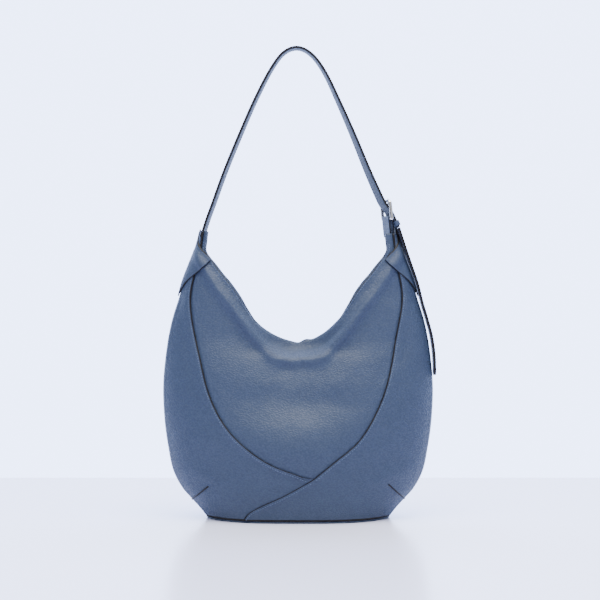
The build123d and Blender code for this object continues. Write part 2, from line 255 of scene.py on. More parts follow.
def relief(x, z, back):
    """Folds, hollows and swells of the standing leather, in mm outward."""
    seed = 37.0 if back else 0.0
    below = (mouth_z(x) - z) * (0.75 if abs(x) > 35 else 1.0 - 0.25 * abs(x) / 35)
    inner = smoothstep(150, 60, abs(x))
    # Ridge under the mouth, the hollow below it, the waist and the belly
    out = 8.0 * bump(below, 21, 7.5) * (0.45 + 0.55 * inner)
    out -= 1.5 * bump(below, 42, 14) * smoothstep(95, 20, abs(x))
    out -= 5.5 * bump(z, 150, 22) * bump(x, 0, 95)
    out += 3.0 * bump(z, 100, 30) * bump(x, 0, 90)
    # Wrinkles that fan out from a dimple under the mouth's middle
    dimple = BACK_DIMPLE if back else FRONT_DIMPLE
    dx, dz = x - dimple[0], z - dimple[1]
    r = math.hypot(dx, dz)
    angle = math.atan2(dz, dx)
    fan = math.cos(6.0 * angle + 1.3 + seed)
    out += 0.8 * fan * bump(r, 20, 12) * smoothstep(3, 12, below + 6)
    out -= 2.2 * bump(r, 0, 10)
    # A crease right of the middle, with a swell below it
    crease = bump(below, 8.0 + 0.10 * (x - 16), 2.6) * smoothstep(8, 20, x)
    crease *= smoothstep(64, 40, x)
    out -= (1.6 if not back else 0.8) * crease
    out += 1.1 * crease_ridge(x, below)
    # Slow waves in the hide, with finer ones on them
    p = Vector((x / 62.0, z / 62.0, seed))
    out += 1.9 * noise.noise(p) + 0.8 * noise.noise(p * 2.7 + Vector((5, 1, 0)))
    out += 0.30 * noise.noise(p * 7.0 + Vector((0, 9, 0)))
    # Folds pushed up at the foot's corners, and the darts sewn there
    fold = bump(z - 0.30 * abs(x), 22, 9) * smoothstep(60, 110, abs(x))
    out += 1.2 * fold
    for x0, z0, x1, z1 in DARTS:
        run, rise = x1 - x0, z1 - z0
        along = ((x - x0) * run + (z - z0) * rise) / (run**2 + rise**2)
        along = min(max(along, 0), 1)
        away = math.hypot(x - x0 - run * along, z - z0 - rise * along)
        out += (1.5 * bump(away, 8, 6) - 1.6 * bump(away, 0, 3)) * (1 - 0.75 * along)
    return out * smoothstep(FOOT_Z, 12, z) * smoothstep(372, 320, z)


def crease_ridge(x, below):
    """The soft swell below the crease beside the mouth's centre."""
    return bump(below, 13.5 + 0.10 * (x - 16), 3.5) * smoothstep(8, 20, x) * smoothstep(70, 42, x)


def depth(x, z, back=False):
    """Distance of the leather's face from the middle plane."""
    a, b, n, pinch = station(z)
    f = min(abs(x) / a, 1.0)
    shape = (1.0 - f**n) ** (1.0 / ROUNDNESS)
    plain = b * shape - pinch * math.exp(-((x / PINCH_WIDTH) ** 2)) * shape
    return max(plain + relief(x, z, back) * min(1.0, 1.6 * shape), 0.0)


def face_point(x, z, back=False, off=0.0):
    """A point on the body's face, moved out along its normal, and that normal; mm."""
    a = station(z)[0]
    x = max(min(x, a), -a)
    here = depth(x, z, back)
    e = 0.6
    if abs(x) + e > a:
        step = -e if x > 0 else e
        dx = (depth(x + step, z, back) - here) / step
    else:
        dx = (depth(x + e, z, back) - depth(x - e, z, back)) / (2 * e)
    up, down = min(z + e, NECK_Z), max(z - e, FOOT_Z)
    dz = (depth(x, up, back) - depth(x, down, back)) / max(up - down, 1e-6)
    normal = Vector((-dx, -1.0, -dz)).normalized()
    point = Vector((x, -here, z)) + normal * off
    if back:
        return Vector((point.x, -point.y, point.z)), Vector((normal.x, -normal.y, normal.z))
    return point, normal


def new_mesh(name, verts, faces, mats, indices=None, smooth=True):
    """A mesh object at the origin from points in mm."""
    mesh = bpy.data.meshes.new(name)
    mesh.from_pydata([Vector(v) * MM for v in verts], [], faces)
    for mat in mats:
        mesh.materials.append(mat)
    if indices:
        mesh.polygons.foreach_set("material_index", indices)
    if smooth:
        mesh.polygons.foreach_set("use_smooth", [True] * len(mesh.polygons))
    mesh.validate()
    obj = bpy.data.objects.new(name, mesh)
    bpy.context.scene.collection.objects.link(obj)
    return obj


def grid(name, rows, mats, pick=None, flip=False):
    """A sheet from rows of points; pick gives a face's material by its row and column."""
    wide = len(rows[0])
    verts = [p for row in rows for p in row]
    faces, indices = [], []
    for j in range(len(rows) - 1):
        for i in range(wide - 1):
            quad = [j * wide + i, j * wide + i + 1, (j + 1) * wide + i + 1, (j + 1) * wide + i]
            faces.append(quad[::-1] if flip else quad)
            indices.append(pick(j, i) if pick else 0)
    return new_mesh(name, verts, faces, mats, indices)


def tube_faces(first, rings, size, turned=False):
    """Faces of a tube of rings of points, capped at both ends; turned swaps its sides."""
    faces = []
    for j in range(rings - 1):
        for i in range(size):
            a = first + j * size + i
            b = first + j * size + (i + 1) % size
            faces.append((a, a + size, b + size, b) if turned else (a, b, b + size, a + size))
    near = [first + i for i in range(size)]
    far = [first + (rings - 1) * size + i for i in range(size)]
    faces.append(near if turned else near[::-1])
    faces.append(far[::-1] if turned else far)
    return faces


def only(obj):
    """Selects one object and makes it the active one."""
    bpy.ops.object.select_all(action="DESELECT")
    obj.select_set(True)
    bpy.context.view_layer.objects.active = obj


def finish_with(obj, kind, **settings):
    """Adds a modifier and applies it."""
    only(obj)
    mod = obj.modifiers.new(kind.title(), kind)
    for key, value in settings.items():
        setattr(mod, key, value)
    bpy.ops.object.modifier_apply(modifier=mod.name)


def thicken(obj, thick, rim=1):
    """Gives a sheet its thickness in mm, inwards; rim is the step to its edge's material."""
    finish_with(obj, "SOLIDIFY", thickness=thick * MM, offset=-1.0, use_even_offset=False,
                material_offset_rim=rim)


def settle(obj, body, slot, *nodes):
    """Rides a piece on a body and hides the nodes that it stands for; slot is not used."""
    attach(obj, body)
    if nodes:
        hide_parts(*nodes)


def coat(node, finish):
    """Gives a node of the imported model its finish."""
    data = bpy.data.objects[node].data
    data.materials.clear()
    data.materials.append(MATS[finish])


def bend(rows, blend):
    """Frees rows of thread from their body and passes each to blend."""
    for row in rows:
        row.parent = None
        blend(row)


# ---------------------------------------------------------------- materials
def linear(code):
    """An sRGB hex colour as linear RGBA."""
    parts = [int(code[i : i + 2], 16) / 255 for i in (1, 3, 5)]
    return (*[c / 12.92 if c <= 0.04045 else ((c + 0.055) / 1.055) ** 2.4 for c in parts], 1.0)


def per_mm(size):
    """Texture scale whose features are about this many mm across."""
    return 1.0 / (size * MM)


def add(tree, kind, links=(), **settings):
    """A node with its settings, and links given as (input, node, output)."""
    node = tree.nodes.new(kind)
    for key, value in settings.items():
        if key.startswith("in_"):
            name = key[3:].replace("_", " ")
            node.inputs[int(name) if name.isdigit() else name].default_value = value
        else:
            setattr(node, key, value)
    for socket, source, output in links:
        tree.links.new(source.outputs[output], node.inputs[socket])
    return node


def start(name, colour, roughness, **shader):
    """A material with its shader only; returns it, its tree, its shader and the coordinates."""
    mat = bpy.data.materials.new(name)
    mat.use_nodes = True
    tree = mat.node_tree
    tree.nodes.clear()
    bsdf = add(tree, "ShaderNodeBsdfPrincipled")
    bsdf.inputs["Base Color"].default_value = linear(colour)
    bsdf.inputs["Roughness"].default_value = roughness
    for key, value in shader.items():
        bsdf.inputs[key.replace("_", " ")].default_value = value
    add(tree, "ShaderNodeOutputMaterial", [("Surface", bsdf, "BSDF")])
    coords = add(tree, "ShaderNodeTexCoord")
    return mat, tree, bsdf, coords


def leather(name, colour, dark, pebble, high, roughness):
    """Drum-dyed grain leather: rounded pebbles, painted shade in their valleys, slight random tone
    changes.
    """
    mat, tree, bsdf, coords = start(name, colour, roughness, Specular_IOR_Level=0.3)
    warp = add(tree, "ShaderNodeTexNoise", [("Vector", coords, "Object")], in_Scale=per_mm(7.0),
               in_Detail=2.0)
    moved = add(tree, "ShaderNodeMix", [("A", coords, "Object"), ("B", warp, "Color")],
                data_type="VECTOR")
    moved.inputs["Factor"].default_value = 0.0016
    longer = add(tree, "ShaderNodeMapping", [("Vector", moved, "Result")])
    longer.inputs["Scale"].default_value = (0.8, 1.0, 1.15)
    cells = add(tree, "ShaderNodeTexVoronoi", [("Vector", longer, "Vector")], feature="SMOOTH_F1",
                in_Scale=per_mm(pebble), in_Smoothness=0.18)
    fine = add(tree, "ShaderNodeTexNoise", [("Vector", coords, "Object")], in_Scale=per_mm(0.9),
               in_Detail=2.0)
    # Slow random changes of tone over the hide, the leather's own colour
    mottle = add(tree, "ShaderNodeTexNoise", [("Vector", coords, "Object")], in_Scale=per_mm(24.0),
                 in_Detail=4.0, in_Roughness=0.6)
    shade = add(tree, "ShaderNodeMapRange", [("Value", mottle, "Fac")], in_1=0.3, in_2=0.7,
                in_3=0.0, in_4=0.14)
    # Painted shade: the colour darkens towards the valleys' darker colour away from each pebble's
    # middle
    valley_shade = add(tree, "ShaderNodeMapRange", [("Value", cells, "Distance")], in_1=0.25, in_2=0.75,
                 in_3=0.0,
                 in_4=0.45)
    # Random tone plus the valleys' painted shade, mixed into the base colour below
    both = add(tree, "ShaderNodeMath", [(0, shade, "Result"), (1, valley_shade, "Result")],
               operation="ADD",
               use_clamp=True)
    tint = add(tree, "ShaderNodeMix", [("Factor", both, "Value")], data_type="RGBA")
    tint.inputs["A"].default_value = linear(colour)
    tint.inputs["B"].default_value = linear(dark)
    tree.links.new(tint.outputs["Result"], bsdf.inputs["Base Color"])
    gloss = add(tree, "ShaderNodeMapRange", [("Value", cells, "Distance")], in_1=0.1, in_2=0.8,
                in_3=roughness - 0.05, in_4=roughness + 0.2)
    tree.links.new(gloss.outputs["Result"], bsdf.inputs["Roughness"])
    dome = add(tree, "ShaderNodeMapRange", [("Value", cells, "Distance")],
               interpolation_type="SMOOTHSTEP",
               in_1=0.12, in_2=0.68, in_3=1.0, in_4=0.0)
    height = add(tree, "ShaderNodeMath", [(0, fine, "Fac"), (2, dome, "Result")],
                 operation="MULTIPLY_ADD",
                 in_1=0.12)
    grain = add(tree, "ShaderNodeBump", [("Height", height, "Value")], in_Strength=0.85)
    grain.inputs["Distance"].default_value = high * MM
    tree.links.new(grain.outputs["Normal"], bsdf.inputs["Normal"])
    return mat


def edge_paint():
    """Hand-painted raw edge: thick dark paint with small lumps, only slightly glossy."""
    mat, tree, bsdf, coords = start("Edge_Paint", "#100e10", 0.5, Specular_IOR_Level=0.2)
    lumps = add(tree, "ShaderNodeTexNoise", [("Vector", coords, "Object")], in_Scale=per_mm(4.0),
                in_Detail=3.0)
    grain = add(tree, "ShaderNodeBump", [("Height", lumps, "Fac")], in_Strength=0.4)
    grain.inputs["Distance"].default_value = 0.2 * MM
    tree.links.new(grain.outputs["Normal"], bsdf.inputs["Normal"])
    return mat


def thread():
    """Waxed polyester thread: twisted, slightly glossy."""
    mat, tree, bsdf, coords = start("Waxed_Thread", "#3f4f6c", 0.5)
    twist = add(tree, "ShaderNodeTexWave", [("Vector", coords, "Object")], in_Scale=per_mm(3.0),
                in_Distortion=1.0)
    grain = add(tree, "ShaderNodeBump", [("Height", twist, "Fac")], in_Strength=0.4)
    grain.inputs["Distance"].default_value = 0.1 * MM
    tree.links.new(grain.outputs["Normal"], bsdf.inputs["Normal"])
    return mat


def cloth(name, colour, pitch):
    """Cotton twill: fine diagonal ribs, drawn at twice their size so that they show."""
    mat, tree, bsdf, coords = start(name, colour, 0.85, Sheen_Weight=0.25)
    turned = add(tree, "ShaderNodeMapping", [("Vector", coords, "Object")])
    turned.inputs["Rotation"].default_value = (0.0, math.radians(45), 0.0)
    ribs = add(tree, "ShaderNodeTexWave", [("Vector", turned, "Vector")],
               in_Scale=per_mm(pitch) / RIB_DIVISOR,
               in_Distortion=0.4, in_Detail=1.0)
    grain = add(tree, "ShaderNodeBump", [("Height", ribs, "Fac")], in_Strength=0.5)
    grain.inputs["Distance"].default_value = 0.25 * MM
    tree.links.new(grain.outputs["Normal"], bsdf.inputs["Normal"])
    return mat


def metal(name, colour, roughness):
    """Nickel plate, polished: faint wiping marks that only soften its reflections."""
    mat, tree, bsdf, coords = start(name, colour, roughness, Metallic=1.0)
    wear = add(tree, "ShaderNodeTexNoise", [("Vector", coords, "Object")], in_Scale=per_mm(3.0),
               in_Detail=4.0)
    gloss = add(tree, "ShaderNodeMapRange", [("Value", wear, "Fac")], in_1=0.3, in_2=0.7,
                in_3=roughness * 0.7, in_4=roughness * 1.5)
    tree.links.new(gloss.outputs["Result"], bsdf.inputs["Roughness"])
    return mat


def board():
    """Pressed fibre board: grey-brown with small flecks."""
    mat, tree, bsdf, coords = start("Fibre_Board", "#77695a", 0.9)
    flecks = add(tree, "ShaderNodeTexNoise", [("Vector", coords, "Object")], in_Scale=per_mm(2.0),
                 in_Detail=5.0)
    ramp = add(tree, "ShaderNodeMix", [("Factor", flecks, "Fac")], data_type="RGBA")
    ramp.inputs["A"].default_value = linear("#655848")
    ramp.inputs["B"].default_value = linear("#8c7f6e")
    tree.links.new(ramp.outputs["Result"], bsdf.inputs["Base Color"])
    return mat


def plain_stage(name, colour, roughness, glow):
    """Plain studio board; the wall also glows, as an evenly lit backdrop does."""
    mat, _, bsdf, _ = start(name, colour, roughness, Specular_IOR_Level=0.35)
    bsdf.inputs["Emission Color"].default_value = linear(colour)
    bsdf.inputs["Emission Strength"].default_value = glow
    return mat


MATS = {}


def make_materials(props):
    """Makes the finishes that all pieces share."""
    MATS["body"] = leather("Pebbled_Calf", props.leather, props.leather_valley_shade, 2.1, 0.3, 0.42)
    MATS["strap"] = leather("Strap_Leather", props.strap, props.leather_valley_shade, 1.8, 0.2, 0.45)
    MATS["facing"] = leather("Facing_Leather", props.facing, props.leather_valley_shade, 1.7, 0.22, 0.5)
    # Painted shade: the strap's inner face is its leather made darker and greyer, as that face
    # looks turned from the light
    MATS["under"] = leather("Strap_Underside_Painted_Shade", "#2c3543", "#242b37", 1.6, 0.15, 0.55)
    # Painted shadow: the tail's inner face is near-black, as it looks in the shadow beside the body
    MATS["tail_under"] = leather("Tail_Underside_Painted_Shade", "#23242b", "#1b1c21", 1.6, 0.15, 0.5)
    MATS["edge"] = edge_paint()
    MATS["thread"] = thread()
    MATS["lining"] = cloth("Lining_Twill", "#39404f", 1.2)
    MATS["tape"] = cloth("Zip_Tape", "#23262d", 0.9)
    MATS["nickel"] = metal("Polished_Nickel", "#d9d8d6", 0.13)
    MATS["zip"] = metal("Nickel_Zip", "#c9c8c6", 0.24)
    MATS["board"] = board()


# ---------------------------------------------------------------- stitches
STITCH_RING = [(math.cos(a * math.pi / 3), math.sin(a * math.pi / 3)) for a in range(6)]


def stitch_row(name, points, body, slot="edge_leather", pitch=3.3, long=2.3, wide=0.42, high=0.34):
    """One row of thread: low rounded stitches along points given as (place, normal) in mm."""
    verts, faces = [], []
    lengths = [0.0]
    for a, b in zip(points, points[1:]):
        lengths.append(lengths[-1] + (b[0] - a[0]).length)
    count = max(int(lengths[-1] / pitch), 1)
    for k in range(count):
        middle = (k + 0.5) * lengths[-1] / count
        i = min(max(bisect.bisect_left(lengths, middle), 1), len(points) - 1)
        span = max(lengths[i] - lengths[i - 1], 1e-6)
        u = (middle - lengths[i - 1]) / span
        place = points[i - 1][0].lerp(points[i][0], u)
        normal = points[i - 1][1].lerp(points[i][1], u).normalized()
        along = (points[i][0] - points[i - 1][0]).normalized()
        across = normal.cross(along).normalized()
        first = len(verts)
        for share, size in ((-0.5, 0.35), (-0.28, 1.0), (0.28, 1.0), (0.5, 0.35)):
            sunk = 0.18 if abs(share) == 0.5 else 0.0
            for c, s in STITCH_RING:
                verts.append(place + along * (share * long) + across * (c * wide * size)
                             + normal * (s * high * size - sunk))
        faces += tube_faces(first, 4, len(STITCH_RING))
    row = new_mesh(name, verts, faces, [MATS["thread"]])
    settle(row, body, slot)
    return row


# ---------------------------------------------------------------- the body
def offset_xz(route, share, out):
    """A point beside a route, moved sideways in the XZ plane."""
    a, b = route.at(share - 0.004), route.at(share + 0.004)
    here = route.at(share)
    tx, tz = b[0] - a[0], b[1] - a[1]
    size = math.hypot(tx, tz) or 1.0
    return here[0] - tz / size * out, here[1] + tx / size * out


def mouth_at(s, drop=0.0):
    """The mouth's edge from -1 at the left neck, through the centre, to 1 at the right neck."""
    share = abs(s) if s < 0 else s * MOUTH_SHARE
    raised = 2.0 * (1 - rolled(MOUTH_ROUTE.at(share)[0]))
    x, z = offset_xz(MOUTH_ROUTE, share, raised - drop)
    if s < 0:
        x += 4.6 * smoothstep(8, 45, x)
    return math.copysign(x, s) if s else 0.0, z


def rolled(x):
    """How far the mouth's edge rolls inwards at an x: 1 in the middle, 0 on the slopes."""
    return smoothstep(78, 34, abs(x))


def overlay_at(s):
    """The centre panel's outer edge, from left neck to right neck."""
    return LEFT_ROUTE.at(1 + s) if s < 0 else RIGHT_ROUTE.at(s * OVERLAY_SHARE)


def centre_panel(back):
    """The panel under the mouth, from its painted edge down to its tucked outer edge."""
    rows = []
    last = CENTRE_STEPS[-1]
    for j in range(CENTRE_ROWS):
        row = []
        for i in range(CENTRE_COLUMNS + 1):
            mx, mz = mouth_at(-1 + 2 * i / CENTRE_COLUMNS)
            ox, oz = overlay_at(-1 + 2 * i / CENTRE_COLUMNS)
            long = math.dist((mx, mz), (ox, oz))
            if j < len(CENTRE_STEPS):
                reach = CENTRE_STEPS[j] * min(1.0, long / 60)
            else:
                first = last * min(1.0, long / 60)
                reach = first + (long + TUCK - first) * (j - len(CENTRE_STEPS) + 1) / (
                    CENTRE_ROWS - len(CENTRE_STEPS))
            x, z = mx + (ox - mx) * reach / long, mz + (oz - mz) * reach / long
            lift = -0.55 if j == 0 else 0.0
            lift -= 0.7 * smoothstep(long - 5, long, reach)
            roll = rolled(mx)
            if roll > 0:
                z += roll * ROLL * smoothstep(26, ROLL, reach)
                if reach < ROLL:
                    z = mz - reach * (1 - roll) - 0.9 * roll * (ROLL - reach)
                z += roll * (2.4 * bump(mx, 9, 5) - 0.8 * bump(mx, -2, 5)) * smoothstep(14, 4,
                        reach)
                lift -= roll * (0.9 * max(ROLL - reach, 0) + 1.8 * smoothstep(11, 4, reach))
            row.append(face_point(x, z, back, lift)[0])
        rows.append(row)

    def pick(j, i):
        painted = j == 0 and rolled(mouth_at(-1 + 2 * i / CENTRE_COLUMNS)[0]) < 0.3
        return 1 if painted else 0

    obj = grid(f"{FACE[back]}_centre", rows, [MATS["body"], MATS["edge"]], pick, flip=not back)
    thicken(obj, 1.5)
    settle(obj, "bag", "body_leather", f"{FACE[back]}_centre_panel")


def side_rows(z_list, inner, sign, back, tuck):
    """Rows of a side panel from its overlaid edge to the side seam."""
    rows = []
    for z in z_list:
        a = station(z)[0] * sign
        start_x = inner(z)
        row = []
        lap = sign * LAP_STEPS[-1]
        for k in range(SIDE_COLUMNS):
            if k < len(LAP_STEPS):
                x = start_x + sign * LAP_STEPS[k]
            else:
                t = (k - 2) / (SIDE_COLUMNS - 3)
                x = start_x + lap + (a - start_x - lap) * math.sin(t * math.pi / 2)
            near = abs(x - start_x)
            lift = (1.25 * (1 - smoothstep(5, 15, near)) + 0.12) if not tuck(z) else 0.0
            if k == 0:
                lift -= 0.75
            seam = abs(a) - abs(x)
            lift += 0.55 * bump(seam, 2.2, 1.6)
            row.append(face_point(x, z, back, lift)[0])
        rows.append(row)
    return rows


def side_panel(sign, back):
    """A side panel that laps over the centre panel, its edge painted and stitched."""
    count = 150
    z_list = [3.0 + (NECK_TOPS[sign] - 3.0) * (j / count) for j in range(count + 1)]
    z_list.insert(1, 5.0)

    def left_inner(z):
        return LEFT_ROUTE.x_at(z) if z > 57 else BASE_ROUTE.x_at(z) + 7.0

    def right_inner(z):
        return RIGHT_ROUTE.x_at(z) if z > 55 else BASE_ROUTE.x_at(z)

    inner = right_inner if sign > 0 else left_inner
    tuck = (lambda z: False) if sign > 0 else (lambda z: z <= 57)
    rows = side_rows(z_list, inner, sign, back, tuck)

    def pick(j, i):
        return 1 if (i == 0 or j == 0) else 0

    name = f"{FACE[back]}_{SIDE[sign]}"
    obj = grid(name, rows, [MATS["body"], MATS["edge"]], pick, flip=(sign < 0) != back)
    thicken(obj, 1.3)
    settle(obj, "bag", "body_leather", f"{name}_panel")


def seam_points(route, low, high, out, back):
    """Places on the overlaid leather beside a route, from one share of it to another."""
    points = []
    for i in range(161):
        x, z = offset_xz(route, low + (high - low) * i / 160, out)
        points.append(face_point(x, max(z, 3.2), back, 1.3))
    return points


def body_stitches(back):
    """Thread along the overlaid edges and the mouth."""
    face = FACE[back]
    for edge, route, low, high, out in (
        ("left", LEFT_ROUTE, 0.15, 0.985, -3.2),
        ("right", RIGHT_ROUTE, 0.01, 0.86, -3.2),
        ("base", BASE_ROUTE, 0.02, 0.97, 3.2),
    ):
        stitch_row(f"{face}_{edge}_stitches", seam_points(route, low, high, out, back), "bag")
    for index, (x0, z0, x1, z1) in enumerate(DARTS):
        line, sewn = [], []
        for i in range(41):
            u = i / 40
            x, z = x0 + (x1 - x0) * u, z0 + (z1 - z0) * u
            x = math.copysign(min(abs(x), station(z)[0] - 0.5), x)
            line.append(face_point(x, z, back, 0.5))
            sewn.append(face_point(x + 1.2, z + 1.5 * (1 if x < 0 else -1), back, 0.2))
        frames = []
        for i, (place, normal) in enumerate(line):
            along = (line[min(i + 1, 40)][0] - line[max(i - 1, 0)][0]).normalized()
            frames.append((place, normal.cross(along).normalized(), normal, along))
        half = ((-0.95, -0.8, 0), (-0.9, 0.4, 0), (-0.4, 0.7, 0))
        ridge = [*half, *((-w, h, m) for w, h, m in half[::-1])]
        dart = sweep(f"{face}_dart_{index}", frames, ridge, [MATS["edge"]])
        settle(dart, "bag", "body_leather")
        stitch_row(f"{face}_dart_stitches_{index}", sewn, "bag", pitch=2.6, long=1.7, wide=0.3,
                   high=0.25)
    for sign, side in SIDE.items():
        rim = []
        for i in range(201):
            x, z = mouth_at(sign * (0.28 + 0.65 * i / 200), 2.4)
            if rolled(x) < 0.4:
                rim.append(face_point(x, z, back, 0.05))
        stitch_row(f"{face}_{side}_mouth_stitches", rim, "bag", slot="body_leather")


def facing(back):
    """Leather facing that rolls over the mouth's edge and lines it inside."""
    rows = []
    profile = [(-0.5, -1.6)]
    profile += [(-2.2, -1.65), (-3.0, -2.0), (-3.3, -2.6), (-3.0, -3.1), (-2.0, -3.3)]
    profile += [(0.5 + 4.2 * k, -3.3) for k in range(9)]
    profile += [(34.5, -2.4), (20.0, -1.9), (6.0, -1.8), (-0.5, -1.6)]
    for down, off in profile:
        row = []
        for i in range(CENTRE_COLUMNS + 1):
            s = -1 + i / (CENTRE_COLUMNS / 2)
            roll = rolled(mouth_at(s)[0])
            proud = 1.0
            if down < 0:
                proud = 0.35 * (1 - roll) * (1 - smoothstep(0.72, 0.86, abs(s)))
            shorter = 1.0 if abs(s) < 0.8 else 1.0 - 2.2 * (abs(s) - 0.8)
            fall = down * proud * shorter + 7.0 * roll
            x, z = mouth_at(s, fall)
            place, normal = face_point(x, min(z, NECK_Z), back)
            flat = Vector((0, -1 if not back else 1, 0)).lerp(normal, 0.5).normalized()
            row.append(place + flat * (off - 2.5 * roll))
        rows.append(row)
    obj = grid(f"{FACE[back]}_facing_leather", rows, [MATS["facing"]], flip=not back)
    settle(obj, "bag", "facing_leather", f"{FACE[back]}_facing")


def lining(back):
    """Twill lining that follows the leather from the floor to the facing."""
    rows = []
    for j in range(LINING_ROWS + 1):
        row = []
        for i in range(LINING_COLUMNS + 1):
            f = math.sin((-1 + i / (LINING_COLUMNS / 2)) * math.pi / 2)
            # The top hangs below the mouth, whose height is read where the form ends at that height
            top = 230.0
            for _ in range(8):
                top = min(mouth_z(f * (station(top)[0] - 3)) - 31, 356.0)
            z = 5.4 + (top - 5.4) * j / LINING_ROWS
            x = f * station(z)[0]
            place = face_point(x, z, back, -3.4)[0]
            loose = 0.5 * noise.noise(Vector((x / 22, z / 22, 9))) * (1 - f * f)
            here = max(abs(place.y) + loose, 0.15)
            row.append(Vector((place.x, here if back else -here, z)))
        rows.append(row)
    obj = grid(f"{FACE[back]}_lining_cloth", rows, [MATS["lining"]], flip=not back)
    thicken(obj, 0.6, rim=0)
    settle(obj, "bag", "lining_cloth", f"{FACE[back]}_lining")


def base_outline(inset, count=120):
    """Points round the base, inside its edge by a distance."""
    _, half_width, half_depth, square, _ = STATIONS[0]
    half = []
    for i in range(count + 1):
        f = math.cos(math.pi * i / count)
        shape = (1 - min(abs(f), 1) ** square) ** (1 / ROUNDNESS)
        half.append((f * (half_width - inset), (half_depth - inset) * shape))
    return half + [(x, -y) for x, y in half[-2:0:-1]]


def base():
    """Base leather with rounded edges, as wide as the foot of the walls on it."""
    rings = [(30.0, 0.35), (3.0, 0.1), (1.0, 0.25), (0.1, 0.9), (0.0, 1.6), (0.5, 2.3), (2.0, 2.5)]
    verts = []
    for inset, z in rings:
        for x, y in base_outline(inset):
            verts.append((x, y, z if inset < 20 else 0.0))
    faces = tube_faces(0, len(rings), len(base_outline(0)), turned=True)
    obj = new_mesh("base_leather_panel", verts, faces, [MATS["body"]])
    settle(obj, "bag", "base_leather", "base_panel")


# ---------------------------------------------------------------- corner patches
def corner_patch(sign):
    """A patch folded round the side seam, its point down and its neck running up to the strap."""
    columns = []
    for back in (False, True):
        side = []
        for k in range(PATCH_COLUMNS + 1):
            share = math.sin(math.pi / 2 * k / PATCH_COLUMNS)
            low, high = PATCH_LOW_ROUTE.at(share), PATCH_HIGH_ROUTE.at(1 - share)
            column = []
            for j in range(PATCH_ROWS + 1):
                u = j / PATCH_ROWS
                if 0 < j < PATCH_ROWS:
                    u = u * 0.96 + 0.04 * math.sin(u * math.pi)
                z = low[1] + (high[1] - low[1]) * u
                seam_x = station(z)[0]
                x = min(low[0] + (high[0] - low[0]) * u, seam_x) if k else seam_x
                edge = j in (0, PATCH_ROWS) or share > 0.999
                lift = PATCH_LIFT - PATCH_EDGE_DROP if edge else PATCH_LIFT
                place = face_point(x, z, back, lift)[0]
                column.append(Vector((place.x * sign, place.y, place.z)))
            side.append(column)
        columns.append(side)
    ring = columns[0][::-1] + columns[1][1:]
    last = len(ring) - 2

    def pick(j, i):
        return 1 if i in (0, PATCH_ROWS - 1) or j in (0, last) else 0

    name = f"{SIDE[sign]}_patch"
    obj = grid(name, ring, [MATS["strap"], MATS["edge"]], pick, flip=sign < 0)
    thicken(obj, 1.3)
    settle(obj, "bag", "edge_leather", f"{SIDE[sign]}_corner_patch")
    for back in (False, True):
        for label, route, low, high, out in (("low", PATCH_LOW_ROUTE, 0.03, 0.98, -2.6),
                                             ("high", PATCH_HIGH_ROUTE, 0.04, 0.62, -2.4)):
            points = []
            for i in range(61):
                x, z = offset_xz(route, low + (high - low) * i / 60, out)
                place, normal = face_point(min(x, station(z)[0] - 0.4), z, back, PATCH_LIFT)
                points.append((Vector((place.x * sign, place.y, place.z)),
                               Vector((normal.x * sign, normal.y, normal.z))))
            stitch_row(f"{name}_{label}_{FACE[back]}_stitches", points, "bag")


# ---------------------------------------------------------------- strap
SECTION = ((-10.0, 0.75, 1), (-9.75, 0.2, 1), (-9.1, 0.0, 0), (-6.5, 0.05, 0), (0.0, -0.12, 0),
           (6.5, 0.05, 0),
           (9.1, 0.0, 0), (9.75, 0.2, 1), (10.0, 0.75, 1), (10.0, 2.45, 1), (9.75, 3.0, 1), (9.1,
           3.2, 0),
           (0.0, 3.3, 0), (-9.1, 3.2, 0), (-9.75, 3.0, 1), (-10.0, 2.45, 1))


def strap_frame(path, share):
    """Middle of the strap's outer face with its width, inward and lengthwise directions."""
    x, z, twist = curve(path, share)
    a, b = curve(path, share - 0.01), curve(path, share + 0.01)
    along = Vector((b[0] - a[0], 0, b[1] - a[1])).normalized()
    turn = math.radians(twist)
    across = Vector((-math.sin(turn), math.cos(turn), 0))
    across = (across - along * across.dot(along)).normalized()
    inward = along.cross(across)
    if inward.dot(Vector((-x, 0, 300 - z))) < 0:
        inward = -inward
    edge = Vector((x, -STRAP_WIDE / 2 * math.cos(turn), z))
    return edge + across * (STRAP_WIDE / 2), across, inward, along


def sweep(name, frames, section, mats, closed=False):
    """A solid strip: a section of (across, inward, material) points carried along frames."""
    verts, faces, indices = [], [], []
    size = len(section)
    for origin, across, inward, _ in frames:
        for w, h, _ in section:
            verts.append(origin + across * w + inward * h)
    spans = len(frames) if closed else len(frames) - 1
    handed = frames[0][1].cross(frames[0][2]).dot(frames[0][3]) > 0
    for j in range(spans):
        n = (j + 1) % len(frames)
        for i in range(size):
            k = (i + 1) % size
            quad = (j * size + i, j * size + k, n * size + k, n * size + i)
            faces.append(quad if handed else quad[::-1])
            inner = len(mats) > 2 and min(section[i][1], section[k][1]) > STRAP_THICK * 0.9
            indices.append(2 if inner else 1 if section[i][2] and section[k][2] else 0)
    if not closed:
        ends = [list(range(size)), [(len(frames) - 1) * size + i for i in range(size)]]
        faces.append(ends[0][::-1] if handed else ends[0])
        faces.append(ends[1] if handed else ends[1][::-1])
        indices += [1, 1]
    return new_mesh(name, verts, faces, mats, indices)


def strip_stitches(name, path, body, low, high):
    """Rows of thread near both edges of both faces of a strip."""
    rows = []
    for place, (w, h, out) in STRIP_THREAD.items():
        points = []
        for i in range(241):
            origin, across, inward, _ = strap_frame(path, low + (high - low) * i / 240)
            points.append((origin + across * w + inward * h, inward * out))
        rows.append(stitch_row(f"{name}_{place}", points, body))
    return rows


def strap_blend(obj):
    """Bakes a strap piece's placement into its mesh."""
    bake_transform(obj)


